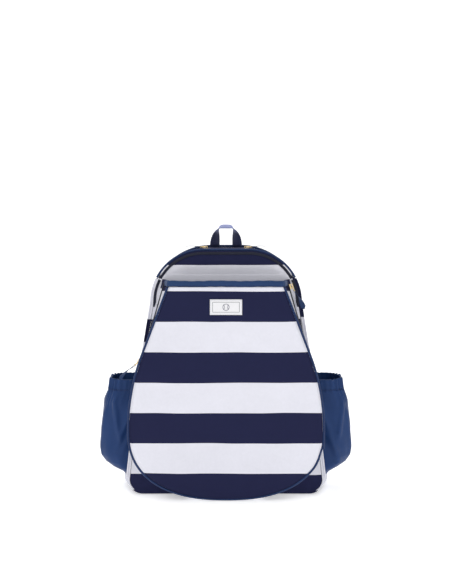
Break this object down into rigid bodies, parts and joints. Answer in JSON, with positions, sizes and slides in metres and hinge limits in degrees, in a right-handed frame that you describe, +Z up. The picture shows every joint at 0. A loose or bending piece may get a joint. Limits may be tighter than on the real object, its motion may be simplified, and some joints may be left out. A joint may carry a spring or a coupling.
{
  "type": "racket backpack",
  "caption": "Striped backpack for racket sports: arched zipped main compartment, front racket pocket that folds down, side bottle pockets, padded straps.",
  "frame": {"origin": "on the floor, under the middle of the bag", "axes": "+Z up, -Y the front with the racket pocket, +X the right side seen from the front"},
  "size_m": [0.462, 0.2166, 0.4811],
  "materials": {
    "striped_cloth": "matt woven cloth in wide navy and off-white stripes",
    "navy_cloth": "matt woven cloth",
    "blue_nylon": "smooth nylon with a slight sheen",
    "piping": "cord covered in nylon",
    "zip_tape": "woven zip tape with a nylon coil",
    "ribbon": "grosgrain ribbon",
    "webbing": "woven webbing",
    "air_mesh": "spacer mesh over foam",
    "lining": "smooth lining cloth",
    "label": "satin woven label",
    "board": "plastic sheet",
    "buckle": "moulded acetal",
    "brass_trim": "polished light gold plate"
  },
  "bodies": {
    "bag": {"back_board": "board", "back_padding": "air_mesh", "back_panel": "navy_cloth", "back_piping": "piping", "base_board": "board", "base_wall": "striped_cloth", "bottle_elastic_left": "blue_nylon", "bottle_elastic_right": "blue_nylon", "bottle_pocket_left": "blue_nylon", "bottle_pocket_right": "blue_nylon", "front_panel": "striped_cloth", "front_piping": "piping", "inner_sleeve": "lining", "inner_sleeve_binding": "lining", "inner_sleeve_gusset": "lining", "main_zip": "zip_tape", "racket_pocket_front": "striped_cloth", "racket_pocket_gusset": "striped_cloth", "racket_pocket_piping": "piping", "racket_pocket_side_left": "striped_cloth", "racket_pocket_side_right": "striped_cloth", "racket_zip_left": "zip_tape", "racket_zip_right": "zip_tape", "side_wall_left": "striped_cloth", "side_wall_right": "striped_cloth", "strap_foot_left": "navy_cloth", "strap_foot_right": "navy_cloth", "strap_root_left": "navy_cloth", "strap_root_right": "navy_cloth", "top_wall": "striped_cloth"},
    "racket_slider_left": {"racket_slider_left": "brass_trim"},
    "racket_pull_left": {"racket_pull_ring_left": "brass_trim", "racket_pull_strap_left": "ribbon"},
    "main_slider_left": {"main_slider_left": "brass_trim"},
    "main_pull_left": {"main_pull_ring_left": "brass_trim", "main_pull_strap_left": "ribbon"},
    "shoulder_strap_left": {"shoulder_pad_left": "navy_cloth", "ladder_lock_left": "buckle", "strap_webbing_left": "webbing"},
    "strap_tail_left": {"strap_tail_left": "webbing"},
    "racket_slider_right": {"racket_slider_right": "brass_trim"},
    "racket_pull_right": {"racket_pull_ring_right": "brass_trim", "racket_pull_strap_right": "ribbon"},
    "main_slider_right": {"main_slider_right": "brass_trim"},
    "main_pull_right": {"main_pull_ring_right": "brass_trim", "main_pull_strap_right": "ribbon"},
    "shoulder_strap_right": {"shoulder_pad_right": "navy_cloth", "ladder_lock_right": "buckle", "strap_webbing_right": "webbing"},
    "strap_tail_right": {"strap_tail_right": "webbing"},
    "top_flap": {"top_flap": "striped_cloth", "top_flap_piping": "piping"},
    "racket_flap": {"racket_flap": "striped_cloth", "racket_flap_band": "blue_nylon", "racket_flap_piping": "piping", "racket_flap_side_left": "striped_cloth", "racket_flap_side_right": "striped_cloth", "label_patch": "label"},
    "haul_loop": {"haul_loop": "webbing"}
  },
  "joints": [
    {"name": "top_flap_fold", "type": "hinge", "parent": "bag", "child": "top_flap", "pos_m": [0, -0.058, 0.391], "axis": [1, 0, 0], "range_deg": [0, 85]},
    {"name": "racket_flap_fold", "type": "hinge", "parent": "bag", "child": "racket_flap", "pos_m": [0, -0.1076, 0.209], "axis": [1, 0, 0], "range_deg": [0, 110]},
    {"name": "haul_loop_fold", "type": "hinge", "parent": "bag", "child": "haul_loop", "pos_m": [0, 0.05, 0.443], "axis": [1, 0, 0], "range_deg": [-35, 55]},
    {"name": "racket_slider_left_run", "type": "slide", "parent": "bag", "child": "racket_slider_left", "axis": [-0.2781, 0, -0.9605], "range_m": [-0.138, 0.02]},
    {"name": "racket_pull_left_swing", "type": "hinge", "parent": "racket_slider_left", "child": "racket_pull_left", "pos_m": [-0.15447, -0.0756, 0.24281], "axis": [0, 1, 0], "range_deg": [-26, 120]},
    {"name": "main_slider_left_run", "type": "hinge", "parent": "bag", "child": "main_slider_left", "pos_m": [-0.0368, -0.0406, 0.342], "axis": [0, -1, 0], "range_deg": [0, 88]},
    {"name": "main_pull_left_swing", "type": "hinge", "parent": "main_slider_left", "child": "main_pull_left", "pos_m": [-0.0368, -0.0406, 0.44385], "axis": [0, 1, 0], "range_deg": [0, 150]},
    {"name": "shoulder_strap_left_swing", "type": "hinge", "parent": "bag", "child": "shoulder_strap_left", "pos_m": [-0.05, 0.07, 0.406], "axis": [-0.2816, 0, -0.9595], "range_deg": [-22, 22]},
    {"name": "strap_tail_left_swing", "type": "hinge", "parent": "shoulder_strap_left", "child": "strap_tail_left", "pos_m": [-0.14113, 0.09131, 0.09549], "axis": [0.9595, 0, -0.2816], "range_deg": [-5, 50]},
    {"name": "racket_slider_right_run", "type": "slide", "parent": "bag", "child": "racket_slider_right", "axis": [0.2781, 0, -0.9605], "range_m": [0, 0.158]},
    {"name": "racket_pull_right_swing", "type": "hinge", "parent": "racket_slider_right", "child": "racket_pull_right", "pos_m": [0.11567, -0.0756, 0.37681], "axis": [0, -1, 0], "range_deg": [-8, 140]},
    {"name": "main_slider_right_run", "type": "hinge", "parent": "bag", "child": "main_slider_right", "pos_m": [0.0368, -0.0406, 0.342], "axis": [0, 1, 0], "range_deg": [0, 88]},
    {"name": "main_pull_right_swing", "type": "hinge", "parent": "main_slider_right", "child": "main_pull_right", "pos_m": [0.0368, -0.0406, 0.44385], "axis": [0, -1, 0], "range_deg": [0, 150]},
    {"name": "shoulder_strap_right_swing", "type": "hinge", "parent": "bag", "child": "shoulder_strap_right", "pos_m": [0.05, 0.07, 0.406], "axis": [0.2816, 0, -0.9595], "range_deg": [-22, 22]},
    {"name": "strap_tail_right_swing", "type": "hinge", "parent": "shoulder_strap_right", "child": "strap_tail_right", "pos_m": [0.14113, 0.09131, 0.09549], "axis": [0.9595, 0, 0.2816], "range_deg": [-5, 50]}
  ]
}
